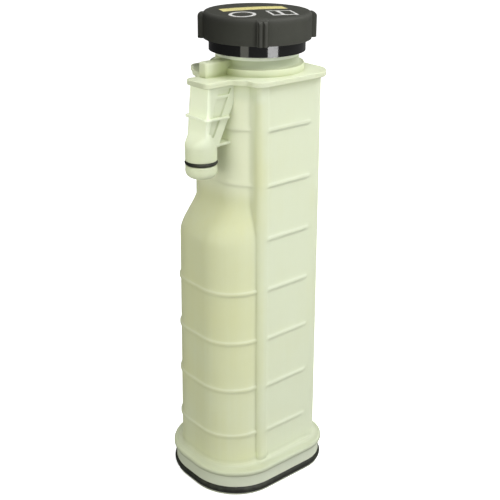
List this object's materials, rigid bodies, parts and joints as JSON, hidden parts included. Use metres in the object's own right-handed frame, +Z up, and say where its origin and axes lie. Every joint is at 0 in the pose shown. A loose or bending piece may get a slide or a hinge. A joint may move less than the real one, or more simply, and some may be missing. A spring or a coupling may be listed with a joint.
{
  "type": "coolant expansion tank",
  "caption": "Slim ribbed coolant expansion tank with an open plug-in collar, an overflow arm ending in a sealed spigot, and a screw cap with a pressure valve and a vacuum valve.",
  "frame": {"origin": "in the middle between the two flat panels, on the plane of the plug-in collar's lower rim", "axes": "+Z up towards the screw cap, -Y towards the overflow arm, X across the slim width"},
  "size_m": [0.0824, 0.0976, 0.3076],
  "materials": {
    "tank_plastic": "milky, slightly translucent moulded plastic",
    "seal_rubber": "smooth black rubber",
    "grip_plastic": "fine matte grain",
    "cap_plastic": "glossy black",
    "valve_plastic": "grey moulded plastic",
    "spring_steel": "bright wire",
    "valve_brass": "turned brass"
  },
  "bodies": {
    "tank": {"tank_body": "tank_plastic", "plug_collar": "tank_plastic", "weld_rim": "tank_plastic", "overflow_arm": "tank_plastic", "tank_cover": "tank_plastic", "base_seal_ring": "seal_rubber", "spigot_seal_ring": "seal_rubber"},
    "cap_seals": {"cap_neck_seal": "seal_rubber", "cap_barrel_seal": "seal_rubber"},
    "cap": {"cap_grip": "grip_plastic", "cap_body": "cap_plastic", "valve_retainer": "cap_plastic", "pressure_spring": "spring_steel"},
    "plunger": {"pressure_plunger": "valve_plastic", "plunger_seal": "seal_rubber", "vacuum_spring": "spring_steel"},
    "vacuum": {"vacuum_valve": "valve_brass"}
  },
  "joints": [
    {"name": "cap_rise", "type": "slide", "parent": "tank", "child": "cap_seals", "axis": [0, 0, 1], "range_m": [0, 0.008]},
    {"name": "cap_turn", "type": "hinge", "parent": "cap_seals", "child": "cap", "pos_m": [0, 0.0055, 0.2844], "axis": [0, 0, 1], "range_deg": [0, 720]},
    {"name": "pressure_valve", "type": "slide", "parent": "cap", "child": "plunger", "axis": [0, 0, 1], "range_m": [0, 0.0025], "stiffness_N_per_m": 300, "springref_m": -0.001, "deforming": ["pressure_spring"]},
    {"name": "vacuum_valve_slide", "type": "slide", "parent": "plunger", "child": "vacuum", "axis": [0, 0, -1], "range_m": [0, 0.0015], "stiffness_N_per_m": 60, "springref_m": -0.002, "deforming": ["vacuum_spring"]}
  ],
  "couplings": [
    {"joint": "cap_rise", "follows": "cap_turn", "m_per_rad": 0.00063661}
  ]
}
